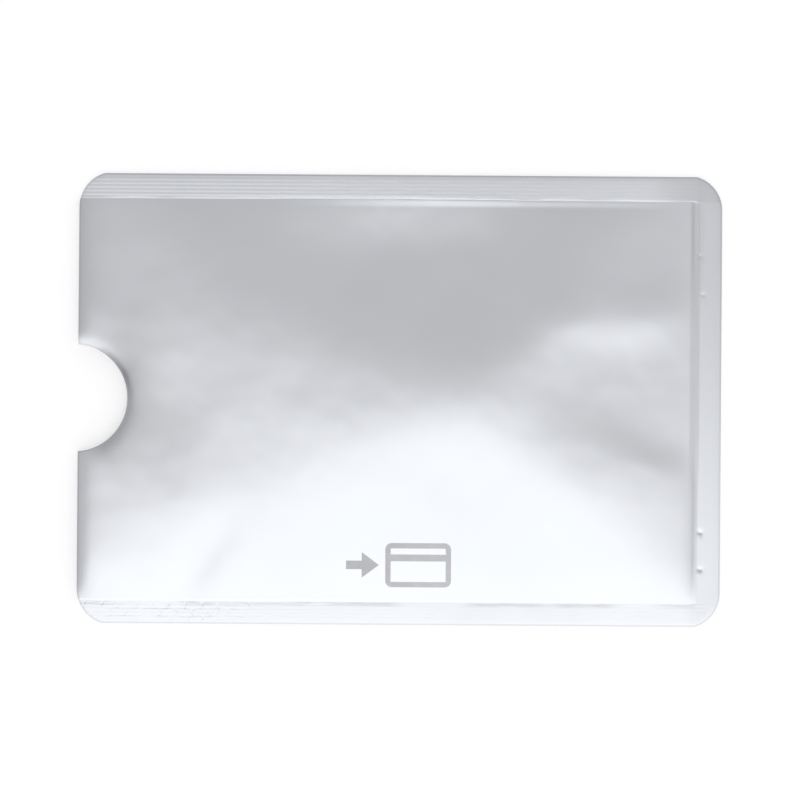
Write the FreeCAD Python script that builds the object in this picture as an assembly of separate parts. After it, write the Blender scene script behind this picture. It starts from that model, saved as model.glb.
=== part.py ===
import FreeCAD, Part
import os

# A flat card sleeve of two foil laminate sheets, welded together along both long sides and one end.
# X runs from the open mouth to the closed end, Y across the sleeve, Z up through the front sheet.
# The origin is under the middle of the sleeve, on the surface that its back lies on. Millimetres.

# The card that the pocket is made for, of the ID-1 size
card_length = 85.60
card_width = 53.98
card_thickness = 0.76

# Room round the card in the pocket
card_end_room = 0.30
card_side_room = 0.31
card_head_room = 0.24

# The three plies of each sheet
outer_film = 0.05
foil = 0.03
inner_film = 0.07

# The flat welded margins, and the shoulder by which the front sheet rises from them
side_seam = 3.2
end_seam = 3.1
shoulder_run = 1.0

# The crown of the empty front sheet: four low slopes up to one peak, with rounded ridges
crown_rise = 1.9
crown_peak_share = 0.57
crown_blend = 9.0

# The cut outline: corners that are rounded before the long edges are trimmed, so that an arc meets them at
# a slight angle, and a thumb notch struck from just outside the mouth
corner_radius = 4.9
corner_trim = 0.2
notch_radius = 7.5
notch_setback = 0.6

# The crimp ribs that the hot bars leave along the side seams
rib_pitch = 0.55
rib_height = 0.08
rib_foot = 0.34
rib_crest = 0.12
rib_margin = 0.05

# The printed mark: an arrow that points at a card with its stripe
ink = 0.02
mark_gap = 0.9
mark_line = 0.75
mark_card_length = 9.2
mark_card_width = 6.2
mark_card_corner = 0.9
mark_stripe_drop = 1.6
mark_stripe_width = 0.95
mark_arrow_length = 4.6
mark_arrow_head = 2.4
mark_arrow_width = 3.6
mark_arrow_shaft = 1.2
mark_seam_room = 1.1

# How far a cutting or clipping shape runs past what it cuts
overrun = 5.0

# Sizes of the whole sleeve
shoulder_rise = card_thickness + card_head_room
sleeve_length = card_length + card_end_room + shoulder_run + end_seam
sleeve_width = card_width + 2 * (card_side_room + shoulder_run + side_seam)

# Places along X and Y: the mouth, the closed end, the welds' inner edges and the shoulders' tops
mouth_x = -sleeve_length / 2
end_x = sleeve_length / 2
weld_x = end_x - end_seam
shelf_x = weld_x - shoulder_run
edge_y = sleeve_width / 2
weld_y = edge_y - side_seam
shelf_y = weld_y - shoulder_run
peak_x = mouth_x + crown_peak_share * (shelf_x - mouth_x)

# Levels at the seams, from the back's outside face upwards
back_foil_z = outer_film
back_inner_z = back_foil_z + foil
floor_z = back_inner_z + inner_film
front_foil_z = floor_z + inner_film
front_outer_z = front_foil_z + foil
front_top_z = front_outer_z + outer_film

along_x = FreeCAD.Vector(1, 0, 0)
along_y = FreeCAD.Vector(0, 1, 0)
along_z = FreeCAD.Vector(0, 0, 1)


def block(low, high):
    """The box between two corners."""
    size = FreeCAD.Vector(*high) - FreeCAD.Vector(*low)
    return Part.makeBox(size.x, size.y, size.z, FreeCAD.Vector(*low))


def prism(edges, sweep):
    """The solid that a closed run of edges makes when it is pushed along a vector."""
    return Part.Face(Part.Wire(edges)).extrude(sweep)


def line(start, end):
    return Part.LineSegment(start, end).toShape()


def loop(corners):
    """The straight edges that join a list of points and close it."""
    return [line(start, end) for start, end in zip(corners, corners[1:] + corners[:1])]


def rounded_plate(low, high, radius):
    """The box between two corners with its four upright edges rounded."""
    plate = block(low, high)
    upright = [edge for edge in plate.Edges if edge.Curve.Direction.dot(along_z) != 0]
    return plate.makeFillet(radius, upright)


def rounded_ridge(left_foot, peak, right_foot):
    """Two slopes that meet at a peak, with an arc that is tangent to both in place of the ridge."""
    left = (left_foot - peak).normalize()
    right = (right_foot - peak).normalize()
    inward = (left + right).normalize()
    left_touch = peak + left * crown_blend
    right_touch = peak + right * crown_blend
    cosine = left.dot(inward)
    sine = left.cross(inward).Length
    to_centre = crown_blend / cosine
    radius = crown_blend * sine / cosine
    top = peak + inward * (to_centre - radius)
    arc = Part.Arc(left_touch, top, right_touch).toShape()
    return [line(left_foot, left_touch), arc, line(right_touch, right_foot)]


def sleeve_outline(low, high):
    """An upright prism of the sleeve's cut outline, with its trimmed round corners and thumb notch."""
    wide_y = edge_y + corner_trim
    blank = rounded_plate((mouth_x, -wide_y, low), (end_x, wide_y, high), corner_radius)
    trimmed = block((mouth_x - overrun, -edge_y, low - overrun), (end_x + overrun, edge_y, high + overrun))
    plate = blank.common(trimmed)
    centre = FreeCAD.Vector(mouth_x - notch_setback, 0, low - overrun)
    notch = Part.makeCylinder(notch_radius, high - low + 2 * overrun, centre)
    return plate.cut(notch)


def pocket_block(low, high):
    """The space between the three welds, open at the mouth."""
    return block((mouth_x - overrun, -weld_y, low), (weld_x, weld_y, high))


def panel_block(low, high):
    """The space between the tops of the three shoulders, open at the mouth."""
    return block((mouth_x - overrun, -shelf_y, low), (shelf_x, shelf_y, high))


def across_profile():
    """The front sheet's rise across the sleeve: shoulder, slope, ridge, slope, shoulder."""
    x = mouth_x - overrun
    foot = FreeCAD.Vector(x, -weld_y, 0)
    shelf = FreeCAD.Vector(x, -shelf_y, shoulder_rise)
    peak = FreeCAD.Vector(x, 0, shoulder_rise + crown_rise)
    far_shelf = FreeCAD.Vector(x, shelf_y, shoulder_rise)
    far_foot = FreeCAD.Vector(x, weld_y, 0)
    crown = rounded_ridge(shelf, peak, far_shelf)
    return [line(foot, shelf), *crown, line(far_shelf, far_foot), line(far_foot, foot)]


def along_profile():
    """The front sheet's rise along the sleeve: open mouth, slope, ridge, slope, end shoulder."""
    y = -edge_y - overrun
    start = FreeCAD.Vector(mouth_x - overrun, y, 0)
    lip = FreeCAD.Vector(mouth_x - overrun, y, shoulder_rise)
    mouth = FreeCAD.Vector(mouth_x, y, shoulder_rise)
    peak = FreeCAD.Vector(peak_x, y, shoulder_rise + crown_rise)
    shelf = FreeCAD.Vector(shelf_x, y, shoulder_rise)
    foot = FreeCAD.Vector(weld_x, y, 0)
    crown = rounded_ridge(mouth, peak, shelf)
    return [line(start, lip), line(lip, mouth), *crown, line(shelf, foot), line(foot, start)]


def crimp_ribs():
    """Low ribs side by side along both side seams, as a list of solids."""
    band = side_seam - 2 * rib_margin - rib_foot
    count = int(band / rib_pitch) + 1
    first = weld_y + (side_seam - (count - 1) * rib_pitch) / 2
    x = mouth_x - overrun
    reach = along_x * (sleeve_length + 2 * overrun)
    ribs = []
    for side in (-1, 1):
        for index in range(count):
            y = side * (first + index * rib_pitch)
            corners = [
                FreeCAD.Vector(x, y - rib_foot / 2, 0),
                FreeCAD.Vector(x, y - rib_crest / 2, rib_height),
                FreeCAD.Vector(x, y + rib_crest / 2, rib_height),
                FreeCAD.Vector(x, y + rib_foot / 2, 0),
            ]
            ribs.append(prism(loop(corners), reach))
    return ribs


def front_form():
    """All that lies under the front sheet: flat seams with ribs, shoulders and crown, cut to the outline."""
    across = prism(across_profile(), along_x * (sleeve_length + 2 * overrun))
    along = prism(along_profile(), along_y * (sleeve_width + 2 * overrun))
    bulge = across.common(along)
    base = block((mouth_x - overrun, -edge_y - overrun, -overrun), (end_x + overrun, edge_y + overrun, 0))
    form = base.multiFuse([bulge, *crimp_ribs()])
    headroom = shoulder_rise + crown_rise + overrun
    return form.common(sleeve_outline(-overrun, headroom)).removeSplitter()


def lifted(form, level):
    return form.translated(along_z * level)


def ply(form, low, high):
    """The layer of a sheet that follows the front form, between two levels measured at the seams."""
    return lifted(form, high).cut(lifted(form, low))


def weld(form, low, high):
    """The border of the sealing plies in a box given by its corners in X and Y.

    The two plies are fused into one strip along the seam, and the front one goes on up the shoulder.
    """
    top = front_foil_z + shoulder_rise + overrun
    border = block((low[0], low[1], back_inner_z), (high[0], high[1], top))
    under_front = lifted(form, floor_z).common(pocket_block(back_inner_z, top))
    return lifted(form, front_foil_z).common(border).cut(under_front).removeSplitter()


def mark_card(left_x, middle_y, low, high):
    """A card seen from the front: a rounded frame with a stripe across it."""
    right_x = left_x + mark_card_length
    low_y = middle_y - mark_card_width / 2
    top_y = low_y + mark_card_width
    plate = rounded_plate((left_x, low_y, low), (right_x, top_y, high), mark_card_corner)
    window = block(
        (left_x + mark_line, low_y + mark_line, low - overrun),
        (right_x - mark_line, top_y - mark_line, high + overrun),
    )
    stripe_top = top_y - mark_stripe_drop
    stripe = block(
        (left_x + mark_line, stripe_top - mark_stripe_width, low),
        (right_x - mark_line, stripe_top, high),
    )
    return plate.cut(window).fuse(stripe).removeSplitter()


def mark_arrow(left_x, middle_y, low, high):
    """An arrow that points along +X."""
    tip_x = left_x + mark_arrow_length
    neck_x = tip_x - mark_arrow_head
    half_shaft = mark_arrow_shaft / 2
    half_head = mark_arrow_width / 2
    places = [
        (left_x, -half_shaft),
        (neck_x, -half_shaft),
        (neck_x, -half_head),
        (tip_x, 0),
        (neck_x, half_head),
        (neck_x, half_shaft),
        (left_x, half_shaft),
    ]
    corners = [FreeCAD.Vector(x, middle_y + y, low) for x, y in places]
    return prism(loop(corners), along_z * (high - low))


def printed_mark(form):
    """The ink film on the front sheet, just above the lower side seam, in two separate solids."""
    length = mark_arrow_length + mark_gap + mark_card_length
    left_x = -length / 2
    middle_y = -shelf_y + mark_seam_room + mark_card_width / 2
    low = front_top_z
    high = front_top_z + shoulder_rise + crown_rise + overrun
    film = ply(form, front_top_z, front_top_z + ink)
    card_x = left_x + mark_arrow_length + mark_gap
    shapes = [mark_arrow(left_x, middle_y, low, high), mark_card(card_x, middle_y, low, high)]
    return Part.Compound([film.common(shape).Solids[0] for shape in shapes])


def main():
    form = front_form()
    panel = panel_block(floor_z, front_foil_z + shoulder_rise + crown_rise + overrun)
    far_x = end_x + overrun
    near_x = mouth_x - overrun
    far_y = edge_y + overrun
    pieces = {
        "back_outer_film": sleeve_outline(0, back_foil_z),
        "back_foil": sleeve_outline(back_foil_z, back_inner_z),
        "back_inner_film": sleeve_outline(back_inner_z, floor_z).common(pocket_block(back_inner_z, floor_z)),
        "upper_side_weld": weld(form, (near_x, shelf_y), (far_x, far_y)),
        "lower_side_weld": weld(form, (near_x, -far_y), (far_x, -shelf_y)),
        "closed_end_weld": weld(form, (shelf_x, -shelf_y), (far_x, shelf_y)),
        "front_inner_film": ply(form, floor_z, front_foil_z).common(panel),
        "front_foil": ply(form, front_foil_z, front_outer_z),
        "front_outer_film": ply(form, front_outer_z, front_top_z),
        "printed_mark": printed_mark(form),
    }
    os.makedirs("parts", exist_ok=True)
    for name, shape in pieces.items():
        shape.exportStep(os.path.join("parts", name + ".step"))
        low, high = shape.BoundBox.ZMin, shape.BoundBox.ZMax
        print(f"{name}: {len(shape.Solids)} solid, {shape.Volume:.2f} mm3, z {low:.3f} to {high:.3f}")
    print(f"sleeve {sleeve_length:.2f} by {sleeve_width:.2f} mm")


main()
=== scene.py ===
import math

import bpy
import numpy as np
from mathutils.geometry import delaunay_2d_cdt
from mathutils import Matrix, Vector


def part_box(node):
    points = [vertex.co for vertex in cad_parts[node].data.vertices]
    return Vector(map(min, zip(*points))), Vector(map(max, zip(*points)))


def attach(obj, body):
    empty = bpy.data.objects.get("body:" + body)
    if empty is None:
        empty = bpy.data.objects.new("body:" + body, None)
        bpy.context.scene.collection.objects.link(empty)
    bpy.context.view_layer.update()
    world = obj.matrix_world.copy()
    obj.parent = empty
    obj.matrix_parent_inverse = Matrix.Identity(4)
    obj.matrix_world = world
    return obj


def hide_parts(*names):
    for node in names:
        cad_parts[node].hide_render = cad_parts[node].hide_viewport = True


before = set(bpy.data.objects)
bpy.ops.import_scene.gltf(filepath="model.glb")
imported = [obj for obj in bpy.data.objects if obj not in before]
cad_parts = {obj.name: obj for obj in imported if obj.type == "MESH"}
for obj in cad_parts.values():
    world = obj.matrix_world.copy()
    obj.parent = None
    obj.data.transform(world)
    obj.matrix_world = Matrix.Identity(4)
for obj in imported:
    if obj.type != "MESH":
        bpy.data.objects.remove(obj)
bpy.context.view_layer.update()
mm = 0.001
body = "root"
print("frame loaded,", len(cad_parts), "nodes")

# places that all plies share, read from the frame
backLow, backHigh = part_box("back_outer_film")
floorLow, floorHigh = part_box("back_inner_film")
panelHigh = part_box("front_inner_film")[1]
mouthX, endX, edgeY = backLow.x, backHigh.x, backHigh.y
weldX, weldY = floorHigh.x, floorHigh.y
shelfX, shelfY = panelHigh.x, panelHigh.y

# levels at the flat seams, from the table upwards
backTopZ = backHigh.z
weldLowZ = floorLow.z
pocketZ = floorHigh.z
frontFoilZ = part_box("front_foil")[0].z
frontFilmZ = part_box("front_outer_film")[0].z
frontTopZ = frontFilmZ + backHigh.z - backLow.z


# node helpers

def wire(tree, value, socket):
    if isinstance(value, bpy.types.NodeSocket):
        tree.links.new(value, socket)
    else:
        socket.default_value = value


def wireAll(tree, values, sockets):
    for value, socket in zip(values, sockets):
        wire(tree, value, socket)


def calc(tree, operation, *values):
    node = tree.nodes.new("ShaderNodeMath")
    node.operation = operation
    wireAll(tree, values, node.inputs)
    return node.outputs[0]


def times(tree, first, *others):
    for other in others:
        first = calc(tree, "MULTIPLY", first, other)
    return first


def timesPlus(tree, first, second, added):
    return calc(tree, "MULTIPLY_ADD", first, second, added)


def over(tree, first, second):
    return calc(tree, "DIVIDE", first, second)


def plus(tree, first, second):
    return calc(tree, "ADD", first, second)


def minus(tree, first, second):
    return calc(tree, "SUBTRACT", first, second)


def slide(tree, value, low, high, toLow=0.0, toHigh=1.0, blend="SMOOTHSTEP"):
    node = tree.nodes.new("ShaderNodeMapRange")
    node.interpolation_type = blend
    wireAll(tree, (value, low, high, toLow, toHigh), node.inputs)
    return node.outputs[0]


def noise(tree, vector, scale, detail, roughness, seed):
    node = tree.nodes.new("ShaderNodeTexNoise")
    node.noise_dimensions = "4D"
    wire(tree, vector, node.inputs["Vector"])
    wire(tree, seed, node.inputs["W"])
    wire(tree, scale, node.inputs["Scale"])
    wire(tree, detail, node.inputs["Detail"])
    wire(tree, roughness, node.inputs["Roughness"])
    return node.outputs[0]


def joinXyz(tree, x, y, z=0.0):
    node = tree.nodes.new("ShaderNodeCombineXYZ")
    wireAll(tree, (x, y, z), node.inputs)
    return node.outputs[0]


def splitXyz(tree, vector):
    node = tree.nodes.new("ShaderNodeSeparateXYZ")
    wire(tree, vector, node.inputs[0])
    return node.outputs


def newGroup(name, kind, inputs, outputs):
    tree = bpy.data.node_groups.new(name, kind)
    for label, value in inputs.items():
        socketType = value if isinstance(value, str) else "NodeSocketFloat"
        socket = tree.interface.new_socket(name=label, in_out="INPUT", socket_type=socketType)
        if socketType == "NodeSocketFloat":
            socket.default_value = value
    for label in outputs:
        socketType = "NodeSocketGeometry" if label == "Geometry" else "NodeSocketFloat"
        tree.interface.new_socket(name=label, in_out="OUTPUT", socket_type=socketType)
    return tree, tree.nodes.new("NodeGroupInput").outputs, tree.nodes.new("NodeGroupOutput").inputs


def placeGroup(tree, group, **values):
    kind = "GeometryNodeGroup" if tree.bl_idname == "GeometryNodeTree" else "ShaderNodeGroup"
    node = tree.nodes.new(kind)
    node.node_tree = group
    for label, value in values.items():
        wire(tree, value, node.inputs[label])
    return node.outputs


# the cut outline and the net of points that the sheets are made on

sleeveCut = {
    "cornerRadius": 4.9 * mm,
    "cornerTrim": 0.2 * mm,
    "notchRadius": 7.5 * mm,
    "notchSetback": 0.6 * mm,
    "arcStep": math.radians(4),
}
notchX = mouthX - sleeveCut["notchSetback"]

# an edge shorter than shortEdge isn't divided, and no inner point comes nearer to the rim than rimGap
netRules = {"shortEdge": 1.2 * mm, "rimGap": 0.04 * mm, "endShare": 1e-4, "touch": 1e-7, "merge": 1e-9}


def arcPoints(x, y, radius, start, end):
    count = max(2, math.ceil(abs(end - start) / sleeveCut["arcStep"]))
    angles = np.linspace(start, end, count + 1)
    return [(x + radius * math.cos(a), y + radius * math.sin(a)) for a in angles]


def sleeveLoop():
    # the corners are rounded before the long edges are trimmed, so an arc stops short of a full quarter
    radius, trim = sleeveCut["cornerRadius"], sleeveCut["cornerTrim"]
    nearX, farX, highY = mouthX + radius, endX - radius, edgeY + trim - radius
    turn, half = math.asin(1 - trim / radius), math.pi
    opening = math.acos(sleeveCut["notchSetback"] / sleeveCut["notchRadius"])
    loop = arcPoints(nearX, -highY, radius, half, half + turn)
    loop += arcPoints(farX, -highY, radius, 2 * half - turn, 2 * half)
    loop += arcPoints(farX, highY, radius, 0, turn)
    loop += arcPoints(nearX, highY, radius, half - turn, half)
    loop += arcPoints(notchX, 0, sleeveCut["notchRadius"], opening, -opening)
    return loop


def spread(*stops):
    # places from stop to stop, with the step between each two stops given between them
    places = []
    for low, step, high in zip(stops[0::2], stops[1::2], stops[2::2]):
        count = max(1, round((high - low) / step))
        places += list(np.linspace(low, high, count + 1))[:-1]
    return places + [stops[-1]]


def mirrored(places):
    return sorted({round(side * p, 9) for p in places for side in (-1, 1)})


# the upper bar sits a little further in than the lower one, and the film stands up steeply beside it
upperBar = {"inset": 0.35 * mm, "run": 0.02 * mm, "guard": 0.01 * mm, "ply": 0.05 * mm}
stepLines = [weldY - upperBar["inset"] + shift for shift in (
    upperBar["guard"], -upperBar["run"], -upperBar["run"] - upperBar["guard"],
)]

fineNet = {
    "x": spread(mouthX, 0.2 * mm, mouthX + 2 * mm, 0.6 * mm, shelfX - 0.6 * mm, 0.1 * mm,
                weldX + 0.4 * mm, 0.3 * mm, endX),
    "y": mirrored(spread(0, 0.6 * mm, weldY - 2.4 * mm, 0.15 * mm, weldY - 0.6 * mm, 0.05 * mm,
                         weldY + 0.2 * mm, 0.1 * mm, edgeY) + stepLines),
}
coarseNet = {
    "x": spread(mouthX, 0.4 * mm, mouthX + 2 * mm, 1.2 * mm, shelfX - 0.6 * mm, 0.12 * mm,
                weldX, 0.8 * mm, endX),
    "y": mirrored(spread(0, 1.1 * mm, shelfY - 0.4 * mm, 0.2 * mm, shelfY, 0.1 * mm,
                         weldY - 0.6 * mm, 0.05 * mm, weldY + 0.2 * mm, 0.75 * mm, edgeY) + stepLines),
}


def cutAtLines(loop, net):
    points = []
    for (ax, ay), (bx, by) in zip(loop, loop[1:] + loop[:1]):
        points.append((ax, ay))
        along = "x" if abs(bx - ax) > abs(by - ay) else "y"
        start, end = (ax, bx) if along == "x" else (ay, by)
        if abs(end - start) < netRules["shortEdge"]:
            continue
        shares = [(line - start) / (end - start) for line in net[along]]
        least = netRules["endShare"]
        for share in sorted(s for s in shares if least < s < 1 - least):
            points.append((ax + share * (bx - ax), ay + share * (by - ay)))
    return points


def insideLoop(points, loop):
    inside = np.zeros(len(points), bool)
    px, py = points[:, 0], points[:, 1]
    for (ax, ay), (bx, by) in zip(loop, loop[1:] + loop[:1]):
        if ay == by:
            continue
        crossed = (ay > py) != (by > py)
        inside ^= crossed & (px < ax + (py - ay) * (bx - ax) / (by - ay))
    return inside


def edgeDistance(points):
    # how far a point lies inside the cut outline
    radius = sleeveCut["cornerRadius"]
    outX = np.abs(points[:, 0] - (mouthX + endX) / 2) - (endX - mouthX) / 2 + radius
    outY = np.abs(points[:, 1]) - edgeY - sleeveCut["cornerTrim"] + radius
    corner = np.hypot(np.maximum(outX, 0), np.maximum(outY, 0))
    blank = radius - corner - np.minimum(np.maximum(outX, outY), 0)
    plate = np.minimum(blank, edgeY - np.abs(points[:, 1]))
    notch = np.hypot(points[:, 0] - notchX, points[:, 1]) - sleeveCut["notchRadius"]
    return np.minimum(plate, notch)


# painted shade: how far the film's colour is darkened at the thumb notch, along both ends and under the end
# bar
paintedFilmShade = {
    "notchShare": 0.5,
    "notchReach": 3.4 * mm,
    "notchSides": (-0.97, -0.86, -0.1, 0.45, 0.98),
    "sideShares": (0.05, 0.85, 1.0, 1.9, 0.0),
    "mouthShare": 0.2,
    "lowMouthShare": 0.08,
    "mouthReach": 1.2 * mm,
    "endShare": 0.1,
    "endReach": 0.7 * mm,
    "barShare": 0.16,
    "barInside": (1.5 * mm, 1.15 * mm, 0.05 * mm, -0.2 * mm),
    "barPlaces": (-14.0 * mm, -5.0 * mm, 6.0 * mm, 14.0 * mm, shelfY, weldY),
    "barShares": (0.1, 1.35, 1.2, 0.8, 0.8, 0.0),
}


def paintedShadeShare(points):
    # most to the right of the notch and below it, and none on the lip above it
    painted = paintedFilmShade
    x, y = points[:, 0], points[:, 1]
    reach = np.hypot(x - notchX, y)
    away = np.maximum(reach - sleeveCut["notchRadius"], 0)
    notch = painted["notchShare"] * np.exp(-away / painted["notchReach"])
    notch = notch * np.interp(y / reach, painted["notchSides"], painted["sideShares"])
    mouth = np.where(y > 0, painted["mouthShare"], painted["lowMouthShare"])
    mouth = mouth * np.exp((mouthX - x) / painted["mouthReach"])
    end = painted["endShare"] * np.exp((x - endX) / painted["endReach"])
    bar = painted["barShare"] * np.interp(x, [weldX - inside for inside in painted["barInside"]], (0, 1, 1, 0))
    bar = bar * np.interp(y, painted["barPlaces"], painted["barShares"]) * (y > -weldY)
    return np.clip(notch + mouth + end + bar, 0, 1)


def joinPoints(loops, grid):
    # triangles between the loops' points and the grid's, kept inside an odd number of loops
    points, edges = [], []
    for loop in loops:
        start = len(points)
        points += loop
        edges += [(start + i, start + (i + 1) % len(loop)) for i in range(len(loop))]
    points += [tuple(p) for p in grid]
    made = delaunay_2d_cdt(points, edges, [], 0, netRules["merge"], False)
    points = np.array([tuple(p) for p in made[0]])
    corners = np.array([tuple(f) for f in made[2]])
    middle = points[corners].mean(1)
    keep = np.zeros(len(corners), bool)
    for loop in loops:
        keep ^= insideLoop(middle, loop)
    return points, corners[keep]


def gridPoints(net):
    gridX, gridY = np.meshgrid(net["x"], net["y"])
    return np.column_stack([gridX.ravel(), gridY.ravel()])


def makeNet(net, extra=()):
    loop = cutAtLines(sleeveLoop(), net)
    grid = np.vstack([gridPoints(net), *extra])
    return joinPoints([loop], grid[edgeDistance(grid) > netRules["rimGap"]])


def doubleAreas(points, corners):
    # twice each triangle's area, below zero where its corners run clockwise
    a, b, c = (points[corners[:, i]] for i in range(3))
    return (b[:, 0] - a[:, 0]) * (c[:, 1] - a[:, 1]) - (b[:, 1] - a[:, 1]) * (c[:, 0] - a[:, 0])


def slab(name, net, low, high, crown=(1.0, 1.0), rib=(0.0, 0.0), where=None):
    # a closed flat sheet between two levels; crown and rib say how far its under and upper face follow
    points, corners = net
    if where is not None:
        middle = points[corners].mean(1)
        corners = corners[where(middle[:, 0], middle[:, 1])]
    used, corners = np.unique(corners, return_inverse=True)
    corners = corners.reshape(-1, 3)
    points = points[used]
    turned = doubleAreas(points, corners) < 0
    corners[turned] = corners[turned][:, ::-1]
    count = len(points)
    sides = np.vstack([corners[:, [0, 1]], corners[:, [1, 2]], corners[:, [2, 0]]])
    _, first, uses = np.unique(np.sort(sides, axis=1), axis=0, return_index=True, return_counts=True)
    rim = sides[first[uses == 1]]
    lows = low(points[:, 0], points[:, 1]) if callable(low) else np.full(count, low)
    verts = np.vstack([
        np.column_stack([points, np.full(count, high)]),
        np.column_stack([points, lows]),
    ])
    upper = [tuple(f) for f in corners]
    under = [tuple(f) for f in corners[:, ::-1] + count]
    wall = [(i + count, j + count, j, i) for i, j in rim]
    mesh = bpy.data.meshes.new(name)
    mesh.from_pydata([tuple(v) for v in verts], [], upper + under + wall)
    shares = {
        "crownShare": np.concatenate([np.full(count, crown[1]), np.broadcast_to(crown[0], count)]),
        "ribShare": np.repeat([rib[1], rib[0]], count),
        "cutInset": np.tile(edgeDistance(points), 2),
        # share of painted shade in the film's colour, darkest at the thumb notch
        "paintedShade": np.tile(paintedShadeShare(points), 2),
    }
    for label, values in shares.items():
        attribute = mesh.attributes.new(label, "FLOAT", "POINT")
        attribute.data.foreach_set("value", np.asarray(values, np.float32))
    mesh.update()
    piece = bpy.data.objects.new(name, mesh)
    bpy.context.scene.collection.objects.link(piece)
    return piece


def lengths(settings):
    return {label: value * mm for label, value in settings.items()}


# the form that the empty front sheet is pressed and creased into, its lengths in mm

crownForm = lengths({
    "End Heel": 4.0,
    "Bottom Run": 0.35,
    "Side Heel": 1.6,
    "Bead Height": 0.066,
    "Bead Overlap": 0.7,
    "Bead Overlap To": -4.0,
    "Bead Far Overlap": 0.2,
    "Bead Far From": 22.0,
    "Bead Fade": 16.0,
    "Bead Reach": 1.1,
    "Bead From": -30.0,
    "Bead Full": 4.0,
    "Top Groove Depth": 0.015,
    "Top Groove Width": 0.22,
    "Top Groove Reach": 0.001,
    "Bottom Groove Depth": 0.025,
    "Bottom Groove Width": 0.45,
    "End Groove Depth": 0.07,
    "End Groove Width": 0.36,
    "End Groove Inner": 0.65,
    "End Groove Outer": -0.15,
    "End Groove Faint": 13.0,
    "End Groove Full": 24.0,
    "Edge Droop": 0.025,
    "Edge Droop Reach": 0.28,
    "Edge Droop From": 1.0,
    "Edge Droop Full": 4.0,
    "Top Rise": 0.74,
    "Top Lift From": -26.0,
    "Bottom Rise": 0.72,
    "Bottom Lean From": 4.0,
    "Left Rise": 1.0,
    "Left Bend": 9.0,
    "Left Low Bend": -9.0,
    "Right Rise": 0.24,
    "Right Bend": 13.0,
    "Right Low Bend": -5.0,
    "Bend Softness": 5.0,
    "Ridge Blend": 0.9,
    "Hip Blend": 0.6,
    "Hip Spread From": -4.0,
    "Least Rise": 0.018,
    "Rim Drop": 0.12,
    "Rim Reach": 1.0,
    "Lip Drop": 0.26,
    "Lip Reach": 1.8,
    "Lip Clear": 4.6,
    "Lower Seam Tilt": 0.07,
    "Seam Tilt Fade": 2.6,
    "Upper Seam Tilt": 0.06,
    "Upper Seam Fade": 8.0,
    "Ripple Height": 0.10,
    "Ripple Size": 10.0,
})
# places from the frame, and slopes, shares and seeds
crownForm.update({
    "Weld Half Width": weldY,
    "Bottom Groove Reach": weldY,
    "Weld End": weldX,
    "Outer Half Width": edgeY,
    "Mouth": mouthX,
    "End Run": weldX - shelfX,
    "End Step Share": 0.06,
    "Bottom Step Share": 0.14,
    "Bottom Inset": 0.0,
    "Top Inset": upperBar["inset"],
    "Top Run": upperBar["run"],
    "Top Step Share": 0.96,
    "Groove Patch From": 0.35,
    "Groove Patch Full": 0.6,
    "End Groove Faint Share": 0.08,
    "Top Slope": 0.060,
    "Top Lift": 0.05,
    "Bottom Slope": 0.064,
    "Bottom Lean": 0.008,
    "Left Slope": 0.027,
    "Left Tilt": 0.012,
    "Left Low Tilt": -0.018,
    "Right Slope": 0.070,
    "Right Tilt": 0.014,
    "Right Low Tilt": -0.006,
    "Hip Spread": 0.03,
    "Notch Middle": notchX,
    "Notch Radius": sleeveCut["notchRadius"],
    "Ripple Seed": 6.0,
})

# creases that run across the panel, in mm: from and to, how wide on either hand, and how high
foldSizes = ("Start X", "Start Y", "End X", "End Y", "Left Width", "Right Width", "Height")
panelFolds = [lengths(dict(zip(foldSizes, row))) for row in (
    (52.0, 14.0, 13.0, 10.0, 3.6, 4.6, 0.15),
    (50.0, -16.2, 17.0, -2.5, 8.0, 4.0, 0.18),
    (-30.0, 31.5, 31.0, 31.5, 7.6, 7.6, 0.70),
    (-37.5, -38.0, -21.5, -13.0, 3.0, 3.0, -0.26),
)]

# small pits that the end bar leaves, and soft swellings by the mouth, in mm
swellSizes = ("Middle X", "Middle Y", "Radius", "Height")
swellings = [lengths(dict(zip(swellSizes, row))) for row in (
    (42.2, -18.3, 0.26, -0.05),
    (42.2, -23.5, 0.26, -0.06),
    (42.0, 20.4, 0.30, -0.013),
    (42.4, 15.0, 0.30, -0.013),
    (-45.0, 12.0, 4.0, 0.15),
    (-33.0, -0.5, 6.0, -0.12),
    (-31.5, -15.4, 4.5, 0.06),
    (-44.0, -27.0, 8.0, 0.26),
)]

# the fine ribs that the hot bars press into the two side seams
crimpRibs = {
    "upper": {"Side": 1.0, "Inner Edge": weldY - crownForm["Top Inset"], "Height": 0.0032 * mm,
              "Wander": 0.8, "Plain From": -30 * mm, "Plain To": 34 * mm, "Plain Share": 0.5,
              "Broken Share": 0.85, "Seed": 3.0},
    "lower": {"Side": -1.0, "Inner Edge": weldY, "Height": 0.006 * mm,
              "Wander": 3.0, "Plain From": -60 * mm, "Plain To": 10 * mm, "Plain Share": 0.4,
              "Broken Share": 0.8, "Seed": 8.0},
    "shared": {"Outer Edge": edgeY, "Pitch": 0.53 * mm, "Margin": 0.16 * mm, "Streak Length": 3.5 * mm,
               "Least Wander": 0.15, "Broken From": 0.4, "Broken Full": 0.6, "Broken Start": 0.35},
}

# crazing of the lower seam, strongest near the mouth
seamCraze = {
    "Cell Length": 2.3 * mm,
    "Cell Width": 1.05 * mm,
    "Crack Width": 0.2 * mm,
    "Depth": 0.015 * mm,
    "Level Share": 0.45,
    "Wander": 1.1,
    "Level Wander": 0.4,
    "Drift Scale": 0.8,
    "Patch Scale": 1.1,
    "Patch From": 0.36,
    "Patch Full": 0.56,
    "Margin": 0.25 * mm,
    "Strong To": -30.0 * mm,
    "Faint From": -16.0 * mm,
    "Faint Share": 0.1,
    "Inner Edge": weldY,
    "Outer Edge": edgeY,
    "Seed": 4.0,
}


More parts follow.
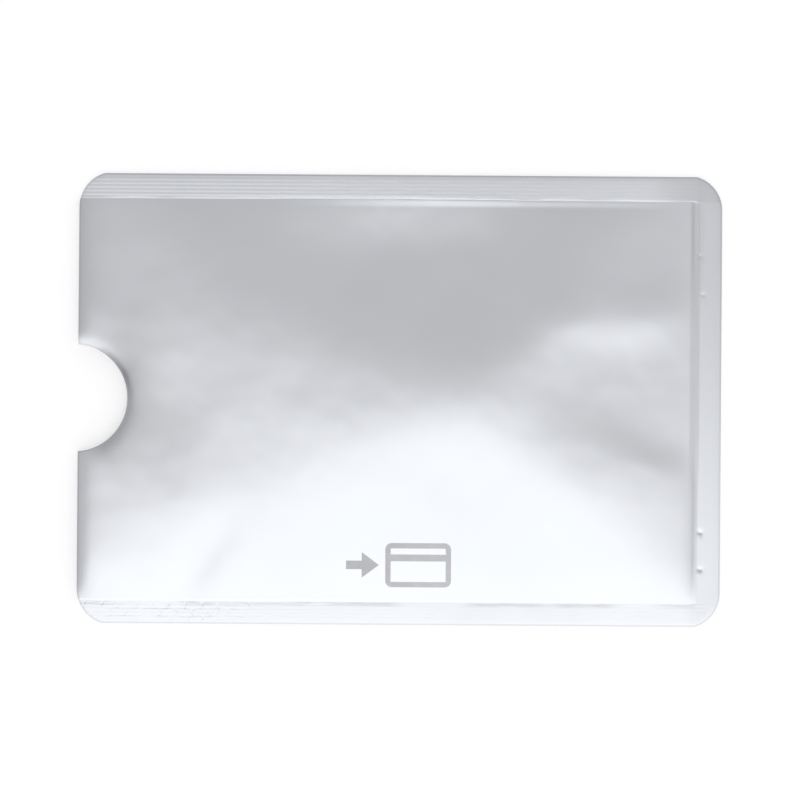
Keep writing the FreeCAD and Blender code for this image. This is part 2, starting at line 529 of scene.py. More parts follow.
def liftGroup(name, labels):
    # a node group that gives a height at each place
    sizes = {label: 0.0 for label in ("X", "Y", *labels)}
    tree, given, out = newGroup(name, "GeometryNodeTree", sizes, ["Lift"])
    return tree, given, out["Lift"]


def softFoldGroup():
    tree, given, out = liftGroup("softFold", foldSizes)
    dx = minus(tree, given["End X"], given["Start X"])
    dy = minus(tree, given["End Y"], given["Start Y"])
    fromX = minus(tree, given["X"], given["Start X"])
    fromY = minus(tree, given["Y"], given["Start Y"])
    square = timesPlus(tree, dx, dx, times(tree, dy, dy))
    along = timesPlus(tree, fromX, dx, times(tree, fromY, dy))
    across = minus(tree, times(tree, fromY, dx), times(tree, fromX, dy))
    away = over(tree, across, calc(tree, "SQRT", square))
    held = slide(tree, over(tree, along, square), 0.0, 1.0, blend="LINEAR")
    swell = times(tree, held, minus(tree, 1.0, held))
    fade = calc(tree, "POWER", times(tree, swell, 4.0), 2.0)  # 1 halfway along and 0 at both ends
    left = over(tree, calc(tree, "MAXIMUM", away, 0.0), given["Left Width"])
    right = over(tree, calc(tree, "MINIMUM", away, 0.0), given["Right Width"])
    hump = bell(tree, plus(tree, left, right), 1.0)
    wire(tree, times(tree, fade, hump, given["Height"]), out)
    return tree


def blisterGroup():
    tree, given, out = liftGroup("blister", swellSizes)
    fromX = minus(tree, given["X"], given["Middle X"])
    fromY = minus(tree, given["Y"], given["Middle Y"])
    square = timesPlus(tree, fromX, fromX, times(tree, fromY, fromY))
    ratio = over(tree, square, times(tree, given["Radius"], given["Radius"]))
    hump = calc(tree, "EXPONENT", times(tree, ratio, -1.0))
    wire(tree, times(tree, hump, given["Height"]), out)
    return tree


def crimpGroup():
    tree, given, out = liftGroup("crimpRibs", [*crimpRibs["upper"], *crimpRibs["shared"]])
    across = times(tree, given["Y"], given["Side"])
    inner = plus(tree, given["Inner Edge"], given["Margin"])
    outer = minus(tree, given["Outer Edge"], given["Margin"])
    starts = slide(tree, across, given["Inner Edge"], inner)
    ends = slide(tree, across, outer, given["Outer Edge"], 1.0, 0.0)
    along = over(tree, given["X"], given["Streak Length"])
    spot = joinXyz(tree, along, over(tree, given["Y"], given["Pitch"]))
    patch = noise(tree, spot, 1.0, 2.0, 0.6, given["Seed"])
    plain = slide(tree, given["X"], given["Plain From"], given["Plain To"])
    drift = minus(tree, patch, 0.5)
    drift = times(tree, drift, given["Wander"], plus(tree, plain, given["Least Wander"]))
    turns = over(tree, minus(tree, across, inner), given["Pitch"])
    wave = calc(tree, "COSINE", times(tree, plus(tree, turns, drift), 2 * math.pi))
    wave = timesPlus(tree, wave, 0.5, 0.5)
    gone = slide(tree, patch, given["Broken From"], given["Broken Full"])
    gone = times(tree, gone, given["Broken Share"], slide(tree, plain, 0.0, given["Broken Start"]))
    strength = slide(tree, plain, 0.0, 1.0, 1.0, given["Plain Share"], "LINEAR")
    lift = times(tree, wave, times(tree, starts, ends), minus(tree, 1.0, gone))
    wire(tree, times(tree, lift, times(tree, strength, given["Height"])), out)
    return tree


def crackLine(tree, given, turns, size):
    # 1 on the line between two cells and 0 a crack's width away from it
    away = times(tree, calc(tree, "PINGPONG", turns, 0.5), size)
    return slide(tree, away, 0.0, given["Crack Width"], 1.0, 0.0)


def crazeGroup():
    tree, given, out = liftGroup("seamCraze", seamCraze)
    lower = times(tree, given["Y"], -1.0)
    fromInner = minus(tree, lower, given["Inner Edge"])
    across = over(tree, fromInner, given["Cell Width"])
    along = over(tree, given["X"], given["Cell Length"])
    spot = joinXyz(tree, along, across)
    drift = minus(tree, noise(tree, spot, given["Drift Scale"], 1.0, 0.5, given["Seed"]), 0.5)
    drift = times(tree, drift, given["Wander"])
    row = tree.nodes.new("ShaderNodeTexWhiteNoise")
    row.noise_dimensions = "1D"
    wire(tree, plus(tree, calc(tree, "FLOOR", across), given["Seed"]), row.inputs["W"])
    shifted = plus(tree, plus(tree, along, row.outputs["Value"]), drift)
    upright = crackLine(tree, given, shifted, given["Cell Length"])
    level = timesPlus(tree, drift, given["Level Wander"], across)
    level = crackLine(tree, given, level, given["Cell Width"])
    crack = calc(tree, "MAXIMUM", upright, times(tree, level, given["Level Share"]))
    patch = noise(tree, spot, given["Patch Scale"], 1.0, 0.5, plus(tree, given["Seed"], 1.0))
    patch = slide(tree, patch, given["Patch From"], given["Patch Full"])
    strength = slide(tree, given["X"], given["Strong To"], given["Faint From"], 1.0, given["Faint Share"])
    inside = calc(tree, "MINIMUM", fromInner, minus(tree, given["Outer Edge"], lower))
    clear = slide(tree, inside, 0.0, given["Margin"])
    wire(tree, times(tree, crack, patch, strength, clear, given["Depth"], -1.0), out)
    return tree


def softRamp(tree, value, width):
    # 0 before zero and a straight rise after it, with a round bend
    square = timesPlus(tree, value, value, times(tree, width, width))
    return times(tree, plus(tree, value, calc(tree, "SQRT", square)), 0.5)


def endSlope(tree, given, end, distance, y):
    # a slope up from one end of the panel, tilted above one bend and below another
    form = timesPlus(tree, distance, given[end + " Slope"], given[end + " Rise"])
    high = minus(tree, y, given[end + " Bend"])
    low = minus(tree, given[end + " Low Bend"], y)
    for past, tilt in ((high, " Tilt"), (low, " Low Tilt")):
        bend = softRamp(tree, past, given["Bend Softness"])
        form = minus(tree, form, times(tree, bend, given[end + tilt]))
    return form


def crownHeight(tree, given, x, y):
    # four bent slopes up to one peak, blended where they meet
    soft = given["Bend Softness"]
    fromTop = minus(tree, given["Weld Half Width"], y)
    top = timesPlus(tree, fromTop, given["Top Slope"], given["Top Rise"])
    lifted = softRamp(tree, minus(tree, given["Top Lift From"], x), soft)
    top = timesPlus(tree, lifted, given["Top Lift"], top)
    fromBottom = plus(tree, given["Weld Half Width"], y)
    bottom = timesPlus(tree, fromBottom, given["Bottom Slope"], given["Bottom Rise"])
    leaning = softRamp(tree, minus(tree, x, given["Bottom Lean From"]), soft)
    bottom = minus(tree, bottom, times(tree, leaning, given["Bottom Lean"]))
    left = endSlope(tree, given, "Left", minus(tree, x, given["Mouth"]), y)
    right = endSlope(tree, given, "Right", minus(tree, given["Weld End"], x), y)
    ridge = calc(tree, "SMOOTH_MIN", top, bottom, given["Ridge Blend"])
    ends = calc(tree, "SMOOTH_MIN", left, right, given["Ridge Blend"])
    wider = softRamp(tree, minus(tree, given["Hip Spread From"], x), soft)
    wider = times(tree, wider, slide(tree, y, soft, times(tree, soft, -1.0)))
    blend = timesPlus(tree, wider, given["Hip Spread"], given["Hip Blend"])
    return calc(tree, "SMOOTH_MIN", ridge, ends, blend)


def fadeOut(tree, away, reach):
    return calc(tree, "EXPONENT", over(tree, away, times(tree, reach, -1.0)))


def freeEdgeDrop(tree, given, x, y):
    # the film turns down along the mouth and round the thumb notch
    fromX = minus(tree, x, given["Notch Middle"])
    reach = calc(tree, "SQRT", timesPlus(tree, fromX, fromX, times(tree, y, y)))
    away = calc(tree, "MAXIMUM", minus(tree, reach, given["Notch Radius"]), 0.0)
    rim = times(tree, fadeOut(tree, away, given["Rim Reach"]), given["Rim Drop"])
    lip = fadeOut(tree, minus(tree, x, given["Mouth"]), given["Lip Reach"])
    above = calc(tree, "GREATER_THAN", y, 0.0)
    lip = times(tree, lip, pick(tree, above, 1.0, slide(tree, away, 0.0, given["Lip Clear"])))
    return timesPlus(tree, lip, given["Lip Drop"], rim)


def rising(tree, inside, run, share, heel):
    # a small step at the weld, then a soft heel up to the full height
    step = times(tree, slide(tree, inside, 0.0, run), share)
    fade = fadeOut(tree, calc(tree, "MAXIMUM", inside, 0.0), heel)
    rest = minus(tree, 1.0, share)
    return timesPlus(tree, minus(tree, 1.0, fade), rest, step)


def pick(tree, choice, first, second):
    return slide(tree, choice, 0.0, 1.0, first, second, "LINEAR")


def seamValue(tree, given, y, label):
    # the lower seam's value below the middle and the upper seam's above it
    upper = calc(tree, "GREATER_THAN", y, 0.0)
    return pick(tree, upper, given["Bottom " + label], given["Top " + label])


def insideSeam(tree, given, y):
    edge = minus(tree, given["Weld Half Width"], seamValue(tree, given, y, "Inset"))
    return minus(tree, edge, calc(tree, "ABSOLUTE", y))


def shoulders(tree, given, fromEnd, y):
    # 0 on the welds and 1 well inside them, on three sides
    run = seamValue(tree, given, y, "Run")
    share = seamValue(tree, given, y, "Step Share")
    side = insideSeam(tree, given, y)
    sideRise = rising(tree, side, run, share, given["Side Heel"])
    endRise = rising(tree, fromEnd, given["End Run"], given["End Step Share"], given["End Heel"])
    return times(tree, sideRise, endRise)


def seamBead(tree, given, x, fromEnd, y):
    # a soft roll along the upper seam's inner edge, wider in the middle and gone at the closed end
    overlap = slide(
        tree, x, given["Bead Overlap To"], given["Bead Far From"],
        given["Bead Overlap"], given["Bead Far Overlap"],
    )
    crest = times(tree, overlap, -1.0)
    roll = slide(tree, insideSeam(tree, given, y), crest, given["Bead Reach"], 1.0, 0.0)
    along = slide(tree, x, given["Bead From"], given["Bead Full"])
    along = times(tree, along, slide(tree, fromEnd, 0.0, given["Bead Fade"]))
    height = times(tree, calc(tree, "GREATER_THAN", y, 0.0), given["Bead Height"])
    return times(tree, roll, along, height)


def bell(tree, away, width):
    ratio = over(tree, away, width)
    return calc(tree, "EXPONENT", times(tree, ratio, ratio, -1.0))


def weldGroove(tree, given, x, fromEnd, y):
    # the bars' inner edges mark a fine groove, deeper in places
    # the lower one has both its banks, and the upper one ends at the step
    fromSide = insideSeam(tree, given, y)
    width = seamValue(tree, given, y, "Groove Width")
    reach = seamValue(tree, given, y, "Groove Reach")
    spot = joinXyz(tree, over(tree, x, given["Ripple Size"]), calc(tree, "SIGN", y))
    patch = noise(tree, spot, 1.0, 2.0, 0.5, given["Ripple Seed"])
    side = times(
        tree,
        bell(tree, fromSide, width),
        calc(tree, "LESS_THAN", fromSide, reach),
        slide(tree, fromEnd, 0.0, given["End Groove Inner"]),
        slide(tree, patch, given["Groove Patch From"], given["Groove Patch Full"]),
    )
    width = given["End Groove Width"]
    inner = bell(tree, minus(tree, fromEnd, given["End Groove Inner"]), width)
    inner = times(tree, inner, calc(tree, "GREATER_THAN", fromSide, 0.0))
    outer = bell(tree, minus(tree, fromEnd, given["End Groove Outer"]), width)
    depth = slide(
        tree, y, given["End Groove Faint"], given["End Groove Full"], given["End Groove Faint Share"], 1.0
    )
    ends = times(tree, plus(tree, inner, outer), depth, given["End Groove Depth"])
    return timesPlus(tree, side, seamValue(tree, given, y, "Groove Depth"), ends)


def edgeDroop(tree, given, x):
    # the cut edge is pressed down a little along the seams
    droop = fadeOut(tree, namedValue(tree, "cutInset"), given["Edge Droop Reach"])
    fromMouth = minus(tree, x, given["Mouth"])
    welded = slide(tree, fromMouth, given["Edge Droop From"], given["Edge Droop Full"])
    return times(tree, droop, welded, given["Edge Droop"])


def seamTilt(tree, given, fromEnd, y):
    # the bars squeeze the lower seam thinner towards its cut edge, and the upper one thinner inside,
    # but the other way round by the closed end
    edge = times(tree, given["Outer Half Width"], -1.0)
    weld = times(tree, given["Weld Half Width"], -1.0)
    swell = slide(tree, y, edge, weld, blend="LINEAR")
    fade = slide(tree, y, weld, 0.0, 1.0, 0.0)
    far = slide(tree, fromEnd, 0.0, given["Seam Tilt Fade"])
    lower = times(tree, swell, fade, given["Lower Seam Tilt"], far)
    inner = minus(tree, given["Weld Half Width"], given["Top Inset"])
    upper = slide(tree, y, inner, given["Outer Half Width"], blend="LINEAR")
    upper = times(tree, upper, slide(tree, fromEnd, 0.0, given["Upper Seam Fade"], -1.0, 1.0))
    return timesPlus(tree, upper, given["Upper Seam Tilt"], lower)


def namedValue(tree, label):
    node = tree.nodes.new("GeometryNodeInputNamedAttribute")
    node.data_type = "FLOAT"
    node.inputs["Name"].default_value = label
    return node.outputs["Attribute"]


def pressedSheetTree():
    inputs = {"Geometry": "NodeSocketGeometry", "Finish": "NodeSocketMaterial", **crownForm}
    tree, given, out = newGroup("pressedSheet", "GeometryNodeTree", inputs, ["Geometry"])
    x, y, z = splitXyz(tree, tree.nodes.new("GeometryNodeInputPosition").outputs[0])
    form = crownHeight(tree, given, x, y)
    fold = softFoldGroup()
    for settings in panelFolds:
        form = plus(tree, form, placeGroup(tree, fold, X=x, Y=y, **settings)["Lift"])
    form = minus(tree, form, freeEdgeDrop(tree, given, x, y))
    size = given["Ripple Size"]
    spot = joinXyz(tree, over(tree, x, size), over(tree, y, size))
    ripple = noise(tree, spot, 1.0, 2.0, 0.45, given["Ripple Seed"])
    form = timesPlus(tree, ripple, given["Ripple Height"], form)
    form = calc(tree, "MAXIMUM", form, given["Least Rise"])
    fromEnd = minus(tree, given["Weld End"], x)
    form = times(tree, form, shoulders(tree, given, fromEnd, y))
    form = plus(tree, form, seamBead(tree, given, x, fromEnd, y))
    form = plus(tree, form, seamTilt(tree, given, fromEnd, y))
    form = minus(tree, form, weldGroove(tree, given, x, fromEnd, y))
    form = minus(tree, form, edgeDroop(tree, given, x))
    blister = blisterGroup()
    for settings in swellings:
        form = plus(tree, form, placeGroup(tree, blister, X=x, Y=y, **settings)["Lift"])
    crimp = crimpGroup()
    ribs = [
        placeGroup(tree, crimp, X=x, Y=y, **crimpRibs["shared"], **crimpRibs[seam])["Lift"]
        for seam in ("upper", "lower")
    ]
    craze = placeGroup(tree, crazeGroup(), X=x, Y=y, **seamCraze)["Lift"]
    form = plus(tree, form, craze)
    lift = times(tree, form, namedValue(tree, "crownShare"))
    lift = timesPlus(tree, plus(tree, *ribs), namedValue(tree, "ribShare"), lift)
    move = tree.nodes.new("GeometryNodeSetPosition")
    wire(tree, given["Geometry"], move.inputs["Geometry"])
    wire(tree, joinXyz(tree, 0.0, 0.0, lift), move.inputs["Offset"])
    realize = tree.nodes.new("GeometryNodeRealizeInstances")
    wire(tree, move.outputs[0], realize.inputs[0])
    finish = tree.nodes.new("GeometryNodeSetMaterial")
    wire(tree, realize.outputs[0], finish.inputs["Geometry"])
    wire(tree, given["Finish"], finish.inputs["Material"])
    wire(tree, finish.outputs[0], out["Geometry"])
    return tree


smoothAngle = math.radians(40)  # faces that meet at less are shaded as one


def pressed(piece, tree, material, depth=0):
    # plies under the outer film stand up a little further in, so that they stay behind it
    modifier = piece.modifiers.new("pressedSheet", "NODES")
    modifier.node_group = tree
    values = {**crownForm, "Top Inset": upperBar["inset"] + depth * upperBar["ply"], "Finish": material}
    for socket in tree.interface.items_tree:
        if socket.in_out == "INPUT" and socket.name in values:
            modifier[socket.identifier] = values[socket.name]
    shaped = piece.evaluated_get(bpy.context.evaluated_depsgraph_get())
    mesh = bpy.data.meshes.new_from_object(shaped)
    flat = piece.data
    piece.modifiers.clear()
    piece.data = mesh
    bpy.data.meshes.remove(flat)
    mesh.name = piece.name
    mesh.shade_smooth()
    mesh.set_sharp_from_angle(angle=smoothAngle)


# finishes

def newMaterial(name, **values):
    material = bpy.data.materials.new(name)
    material.use_nodes = True
    tree = material.node_tree
    shader = tree.nodes["Principled BSDF"]
    for label, value in values.items():
        shader.inputs[label.replace("_", " ")].default_value = value
    return material, tree, shader


def objectPoint(tree):
    return tree.nodes.new("ShaderNodeTexCoord").outputs["Object"]


def surfaceValue(tree, label):
    node = tree.nodes.new("ShaderNodeAttribute")
    node.attribute_name = label
    return node.outputs["Fac"]


def mixColour(tree, share, first, second):
    node = tree.nodes.new("ShaderNodeMix")
    node.data_type = "RGBA"
    wire(tree, share, node.inputs["Factor"])
    wireAll(tree, (first, second), node.inputs[6:8])
    return node.outputs[2]


def dress(tree, shader, colour, rough, height, depth):
    bump = tree.nodes.new("ShaderNodeBump")
    bump.inputs["Distance"].default_value = depth
    wire(tree, height, bump.inputs["Height"])
    wire(tree, bump.outputs["Normal"], shader.inputs["Normal"])
    wire(tree, colour, shader.inputs["Base Color"])
    wire(tree, rough, shader.inputs["Roughness"])


def rolledGrainGroup():
    # hairlines across the web and a soft mottle, as rolling and laminating leave them
    inputs = {
        "Lines Per Metre": 5000.0, "Stretch": 0.03,
        "Mottle Per Metre": 120.0, "Mottle Share": 0.6, "Seed": 1.0,
    }
    tree, given, out = newGroup("rolledGrain", "ShaderNodeTree", inputs, ["Lines", "Mottle", "Height"])
    point = objectPoint(tree)
    x, y, z = splitXyz(tree, point)
    spot = joinXyz(tree, x, times(tree, y, given["Stretch"]), z)
    lines = noise(tree, spot, given["Lines Per Metre"], 3.0, 0.6, given["Seed"])
    mottle = noise(tree, point, given["Mottle Per Metre"], 4.0, 0.55, given["Seed"])
    wire(tree, lines, out["Lines"])
    wire(tree, mottle, out["Mottle"])
    wire(tree, timesPlus(tree, mottle, given["Mottle Share"], lines), out["Height"])
    return tree


def handlingGroup():
    # rubbed patches and fine scratches from use
    inputs = {
        "Rub Per Metre": 45.0, "Rub From": 0.42, "Rub Full": 0.68,
        "Scratch Per Metre": 160.0, "Scratch From": 0.72, "Scratch Full": 0.78,
        "Scratch Lean": 0.35, "Scratch Stretch": 0.02, "Seed": 5.0,
    }
    tree, given, out = newGroup("handlingMarks", "ShaderNodeTree", inputs, ["Rub", "Scratch"])
    point = objectPoint(tree)
    x, y, z = splitXyz(tree, point)
    rub = noise(tree, point, given["Rub Per Metre"], 3.0, 0.6, given["Seed"])
    wire(tree, slide(tree, rub, given["Rub From"], given["Rub Full"]), out["Rub"])
    along = times(tree, minus(tree, y, x), given["Scratch Stretch"])
    turned = joinXyz(tree, timesPlus(tree, y, given["Scratch Lean"], x), along, z)
    scratch = noise(tree, turned, given["Scratch Per Metre"], 2.0, 0.5, given["Seed"])
    wire(tree, slide(tree, scratch, given["Scratch From"], given["Scratch Full"]), out["Scratch"])
    return tree


rolledGrain = rolledGrainGroup()
handlingMarks = handlingGroup()

outerFilmFinish = {
    "bright": (0.905, 0.925, 0.955, 1),
    "dull": (0.865, 0.885, 0.915, 1),
    "lineShare": 0.5,
    "mottleShare": 0.5,
    "roughness": (0.205, 0.25),
    "rubShare": 0.6,
    "scratchShare": 0.4,
    "grainDepth": 0.0015 * mm,
    # painted shade along the cut edge: how wide the band is and its darker grey
    "shadedEdgeBand": 0.34 * mm,
    "shadedEdgeColour": (0.70, 0.71, 0.73, 1),
    # painted shade: the dark grey that the film's colour is mixed towards at the notch, the ends and the
    # end bar
    "paintedShadeColour": (0.30, 0.305, 0.315, 1),
}


def outerFilmMaterial():
    look = outerFilmFinish
    material, tree, shader = newMaterial("satinSilverFilm", Metallic=1.0)
    grain = placeGroup(tree, rolledGrain)
    marks = placeGroup(tree, handlingMarks)
    tone = times(tree, grain["Mottle"], look["mottleShare"])
    tone = timesPlus(tree, grain["Lines"], look["lineShare"], tone)
    colour = mixColour(tree, tone, look["dull"], look["bright"])
    # painted shade at the thumb notch, along both ends and under the end bar
    colour = mixColour(tree, surfaceValue(tree, "paintedShade"), colour, look["paintedShadeColour"])
    # painted shade in a thin band along the cut edge
    band = slide(tree, surfaceValue(tree, "cutInset"), 0.0, look["shadedEdgeBand"], 1.0, 0.0)
    colour = mixColour(tree, band, colour, look["shadedEdgeColour"])
    dulled = times(tree, marks["Scratch"], look["scratchShare"])
    dulled = timesPlus(tree, marks["Rub"], look["rubShare"], dulled)
    rough = slide(tree, dulled, 0.0, 1.0, *look["roughness"], "LINEAR")
    dress(tree, shader, colour, rough, grain["Height"], look["grainDepth"])
    return material


grainRange = (0.3, 0.7)  # where most of the grain's values lie


def grainedPly(name, look, **fixed):
    material, tree, shader = newMaterial(name, **fixed)
    grain = placeGroup(tree, rolledGrain, **look["grain"])
    colour = mixColour(tree, grain[look["colourBy"]], *look["colours"])
    rough = slide(tree, grain[look["roughBy"]], *grainRange, *look["roughness"])
    dress(tree, shader, colour, rough, grain["Height"], look["grainDepth"])
    return material


foilFinish = {
    "grain": {"Lines Per Metre": 2600.0, "Seed": 9.0},
    "colourBy": "Lines",
    "colours": ((0.8, 0.805, 0.815, 1), (0.89, 0.895, 0.9, 1)),
    "roughBy": "Mottle",
    "roughness": (0.22, 0.34),
    "grainDepth": 0.003 * mm,
}
innerFilmFinish = {
    "grain": {"Lines Per Metre": 900.0, "Mottle Per Metre": 260.0, "Seed": 4.0},
    "colourBy": "Mottle",
    "colours": ((0.84, 0.845, 0.85, 1), (0.9, 0.9, 0.9, 1)),
    "roughBy": "Lines",
    "roughness": (0.34, 0.46),
    "grainDepth": 0.004 * mm,
}
weldFinish = {
    "grain": {"Lines Per Metre": 700.0, "Stretch": 0.4, "Mottle Per Metre": 900.0},
    "colourBy": "Mottle",
    "colours": ((0.8, 0.805, 0.81, 1), (0.87, 0.87, 0.875, 1)),
    "roughBy": "Lines",
    "roughness": (0.28, 0.5),
    "grainDepth": 0.006 * mm,
}

inkFinish = {
    "grain": {"Lines Per Metre": 4200.0, "Stretch": 1.0, "Mottle Per Metre": 700.0},
    "full": (0.68, 0.68, 0.7, 1),
    "thin": (0.74, 0.74, 0.755, 1),
    "thinRange": (0.45, 0.75),
    "roughness": (0.42, 0.52),
    "grainDepth": 0.002 * mm,
}


def inkMaterial():
    material, tree, shader = newMaterial("greyPrintInk", Metallic=0.75)
    grain = placeGroup(tree, rolledGrain, **inkFinish["grain"])
    marks = placeGroup(tree, handlingMarks, Seed=2.0)
    speckle = slide(tree, grain["Mottle"], *inkFinish["thinRange"])
    colour = mixColour(tree, speckle, inkFinish["full"], inkFinish["thin"])
    rough = slide(tree, marks["Rub"], 0.0, 1.0, *inkFinish["roughness"], "LINEAR")
    dress(tree, shader, colour, rough, grain["Lines"], inkFinish["grainDepth"])
    return material


outerFilm = outerFilmMaterial()
foil = grainedPly("rolledAluminium", foilFinish, Metallic=1.0)
innerFilm = grainedPly("milkySealingFilm", innerFilmFinish, Specular_IOR_Level=0.45)
weldedFilm = grainedPly("fusedWeld", weldFinish, Specular_IOR_Level=0.5)
printInk = inkMaterial()
print("finishes ready")

# the sheets

pressedSheet = pressedSheetTree()

closerPoints = {
    "ringShares": (0.35, 0.7, 1.1, 1.6),
    "ringCount": 12,
    "crazeFromMouth": 0.35 * mm,
    "crazeInside": 0.35 * mm,
    "crazeStep": 0.1 * mm,
}


def blisterRings():
    rings = []
    for spot in swellings:
        for share in closerPoints["ringShares"]:
            turn = np.linspace(0, 2 * math.pi, closerPoints["ringCount"], endpoint=False) + share
            rings.append(np.column_stack([
                spot["Middle X"] + share * spot["Radius"] * np.cos(turn),
                spot["Middle Y"] + share * spot["Radius"] * np.sin(turn),
            ]))
    return rings


def crazedPoints():
    # where the lower seam is crazed, from just inside its line to the cut edge
    step = closerPoints["crazeStep"]
    return gridPoints({
        "x": np.arange(mouthX + closerPoints["crazeFromMouth"], seamCraze["Faint From"], step),
        "y": -np.arange(weldY - closerPoints["crazeInside"], edgeY, step),
    })


fineSheet = makeNet(fineNet, [*blisterRings(), crazedPoints()])
coarseSheet = makeNet(coarseNet)
print("sheet net:", len(fineSheet[1]), "fine and", len(coarseSheet[1]), "coarse triangles")


def weldFloor(x, y):
    # the weld reaches down to the back foil, and only the front ply goes on up the shoulder
    onSeam = (np.abs(y) >= weldY - netRules["touch"]) | (x >= weldX - netRules["touch"])
    return np.where(onSeam, weldLowZ, pocketZ)


def addPiece(piece, material, node, depth=0):
    pressed(piece, pressedSheet, material, depth)
    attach(piece, body)
    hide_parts(node)
    return piece


frontOuterFilm = addPiece(
    slab("frontOuterFilm", fineSheet, frontFilmZ, frontTopZ, rib=(1.0, 1.0)),
    outerFilm, "front_outer_film",
)
frontFoil = addPiece(slab("frontFoil", coarseSheet, frontFoilZ, frontFilmZ), foil, "front_foil", 1)
frontInnerFilm = addPiece(
    slab("frontInnerFilm", coarseSheet, pocketZ, frontFoilZ,
         where=lambda x, y: (np.abs(y) < shelfY) & (x < shelfX)),
    innerFilm, "front_inner_film", 2,
)
weldPlaces = {
    "upperSideWeld": ("upper_side_weld", lambda x, y: y > shelfY),
    "lowerSideWeld": ("lower_side_weld", lambda x, y: y < -shelfY),
    "closedEndWeld": ("closed_end_weld", lambda x, y: (np.abs(y) < shelfY) & (x > shelfX)),
}
for name, (node, where) in weldPlaces.items():
    strip = slab(name, coarseSheet, weldFloor, frontFoilZ, where=where)
    share = strip.data.attributes["crownShare"]
    lowered = np.array([v.co.z < pocketZ - netRules["touch"] for v in strip.data.vertices])
    share.data.foreach_set("value", np.where(lowered, 0.0, 1.0).astype(np.float32))
    addPiece(strip, weldedFilm, node, 2)
backFoil = addPiece(
    slab("backFoil", coarseSheet, backTopZ, weldLowZ, crown=(0.0, 0.0)), foil, "back_foil",
)
backInnerFilm = addPiece(
    slab("backInnerFilm", coarseSheet, weldLowZ, pocketZ, crown=(0.0, 0.0),
         where=lambda x, y: (np.abs(y) < weldY) & (x < weldX)),
    innerFilm, "back_inner_film",
)
backOuterFilm = addPiece(
    slab("backOuterFilm", fineSheet, backLow.z, backTopZ, crown=(0.0, 0.0), rib=(1.0, 0.0)),
    outerFilm, "back_outer_film",
)
print("sheets pressed")

# the printed mark, an arrow that points at a card, in mm

printedMark = lengths({
    "line": 0.75,
    "cardLength": 9.2,
    "cardCorner": 0.9,
    "stripeDrop": 1.6,
    "stripeWidth": 0.95,
    "arrowLength": 4.6,
    "arrowHead": 2.4,
    "arrowWidth": 3.6,
    "arrowShaft": 1.2,
    "ink": 0.02,
    "netStep": 0.35,
    "netGap": 0.1,
})


def roundedRect(lowX, lowY, highX, highY, radius):
    quarter = math.pi / 2
    centres = [(lowX, lowY, 2), (highX, lowY, 3), (highX, highY, 0), (lowX, highY, 1)]
    loop = []
    for x, y, turn in centres:
        inX = x + radius if x == lowX else x - radius
        inY = y + radius if y == lowY else y - radius
        loop += arcPoints(inX, inY, radius, turn * quarter, (turn + 1) * quarter)
    return loop


def box2d(lowX, lowY, highX, highY):
    return [(lowX, lowY), (highX, lowY), (highX, highY), (lowX, highY)]


def markNet():
    size = printedMark
    low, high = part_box("printed_mark")
    middleY = (low.y + high.y) / 2
    tipX = low.x + size["arrowLength"]
    neckX = tipX - size["arrowHead"]
    shaft, head = size["arrowShaft"] / 2, size["arrowWidth"] / 2
    lowerHalf = [(low.x, -shaft), (neckX, -shaft), (neckX, -head)]
    upperHalf = [(x, -y) for x, y in reversed(lowerHalf)]
    arrow = [(x, middleY + y) for x, y in [*lowerHalf, (tipX, 0), *upperHalf]]
    cardX, line = high.x - size["cardLength"], size["line"]
    stripeTop = high.y - size["stripeDrop"]
    stripeLow = stripeTop - size["stripeWidth"]
    loops = [
        arrow,
        roundedRect(cardX, low.y, high.x, high.y, size["cardCorner"]),
        box2d(cardX + line, stripeTop, high.x - line, high.y - line),
        box2d(cardX + line, low.y + line, high.x - line, stripeLow),
    ]
    lines = {"x": spread(low.x, size["netStep"], high.x), "y": spread(low.y, size["netStep"], high.y)}
    loops = [cutAtLines(loop, lines) for loop in loops]
    grid = gridPoints(lines)
    near = np.vstack(loops)
    gap = np.min(np.hypot(grid[:, None, 0] - near[None, :, 0], grid[:, None, 1] - near[None, :, 1]), axis=1)
    return joinPoints(loops, grid[gap > size["netGap"]])


markPiece = addPiece(
    slab("printedMark", markNet(), frontTopZ, frontTopZ + printedMark["ink"]),
    printInk, "printed_mark",
)

print("mark printed, plies finished")

# floor, light and camera

stage = {
    "floorSize": 6.0,
    "floorDrop": 0.02 * mm,
    "floorColour": (0.93, 0.93, 0.935, 1),
    "floorRoughness": 0.9,
    "floorGloss": 0.1,
    "floorGlow": 0.40,
    "skyGrey": (0.51, 0.51, 0.5202, 1),
    "skyPale": (0.8, 0.8, 0.8, 1),
    "paleTop": 0.14,
    "paleTopBehind": 0.4,
    "skyBlend": 0.12,
    "brightness": 0.62,
}

# where each softbox hangs, where it faces, and how wide and long it is
softboxes = {
    "overheadKey": {"place": (0.12, -1.11, 1.5), "turn": (0, 0, 0), "size": (0.98, 2.18)},
    "frontFill": {"place": (0, -2.3, 0.85), "turn": (90, 0, 0), "size": (3.0, 1.4)},
}


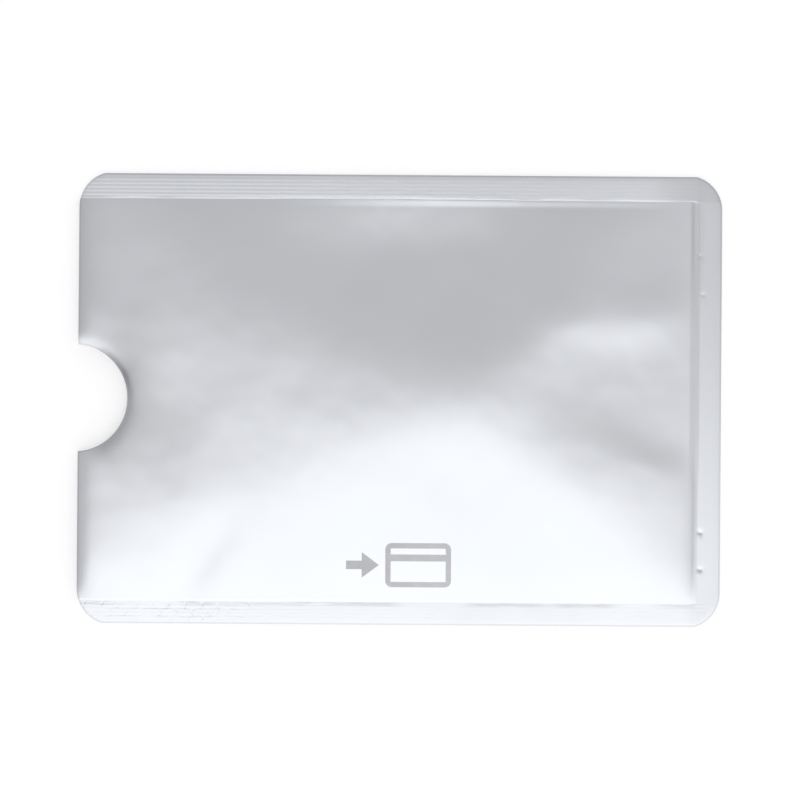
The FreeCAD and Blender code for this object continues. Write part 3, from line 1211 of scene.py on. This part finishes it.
def addFloor():
    half = stage["floorSize"] / 2
    mesh = bpy.data.meshes.new("studioFloor")
    corners = [(-half, -half), (half, -half), (half, half), (-half, half)]
    mesh.from_pydata([(x, y, -stage["floorDrop"]) for x, y in corners], [], [(0, 1, 2, 3)])
    floor = bpy.data.objects.new("studioFloor", mesh)
    bpy.context.scene.collection.objects.link(floor)
    material, tree, shader = newMaterial(
        "whiteSweep", Base_Color=stage["floorColour"], Roughness=stage["floorRoughness"],
        Specular_IOR_Level=stage["floorGloss"], Emission_Color=(1, 1, 1, 1),
    )
    path = tree.nodes.new("ShaderNodeLightPath")
    seen = calc(tree, "MAXIMUM", path.outputs["Is Camera Ray"], path.outputs["Is Glossy Ray"])
    seen = calc(tree, "MAXIMUM", seen, path.outputs["Is Transmission Ray"])
    wire(tree, times(tree, seen, stage["floorGlow"]), shader.inputs["Emission Strength"])
    mesh.materials.append(material)


def addWorld():
    world = bpy.data.worlds.new("studioWorld")
    bpy.context.scene.world = world
    world.use_nodes = True
    tree = world.node_tree
    x, y, z = splitXyz(tree, tree.nodes.new("ShaderNodeTexCoord").outputs["Generated"])
    # pale above the horizon, and higher up behind the sleeve, then grey
    behind = calc(tree, "MAXIMUM", y, 0.0)
    band = timesPlus(tree, behind, stage["paleTopBehind"], stage["paleTop"])
    share = slide(tree, z, band, plus(tree, band, stage["skyBlend"]))
    shade = mixColour(tree, share, stage["skyPale"], stage["skyGrey"])
    seen = tree.nodes.new("ShaderNodeLightPath").outputs["Is Camera Ray"]
    wire(tree, mixColour(tree, seen, shade, (1, 1, 1, 1)), tree.nodes["Background"].inputs["Color"])


def addSoftbox(name, place, turn, size):
    light = bpy.data.lights.new(name, "AREA")
    light.shape = "RECTANGLE"
    light.size, light.size_y = size
    light.energy = stage["brightness"] * math.pi * size[0] * size[1]
    lamp = bpy.data.objects.new(name, light)
    bpy.context.scene.collection.objects.link(lamp)
    lamp.location = place
    lamp.rotation_euler = [math.radians(angle) for angle in turn]
    lamp.visible_camera = False


addFloor()
addWorld()
for name, settings in softboxes.items():
    addSoftbox(name, **settings)

view = {
    "middleX": 0.05 * mm,
    "frameWidth": 112.1 * mm,
    "distance": 0.7,
    "sensor": 36.0,
    "clip": (0.01, 20.0),
    "roll": math.radians(0.4),
}


def addCamera():
    lens = bpy.data.cameras.new("overheadCamera")
    lens.sensor_width = view["sensor"]
    lens.lens = view["sensor"] * view["distance"] / view["frameWidth"]
    lens.clip_start, lens.clip_end = view["clip"]
    camera = bpy.data.objects.new("overheadCamera", lens)
    bpy.context.scene.collection.objects.link(camera)
    camera.location = (view["middleX"], 0, view["distance"])
    camera.rotation_euler = (0, 0, view["roll"])
    bpy.context.scene.camera = camera


addCamera()
bpy.context.scene.view_settings.view_transform = "Standard"
print("stage set")
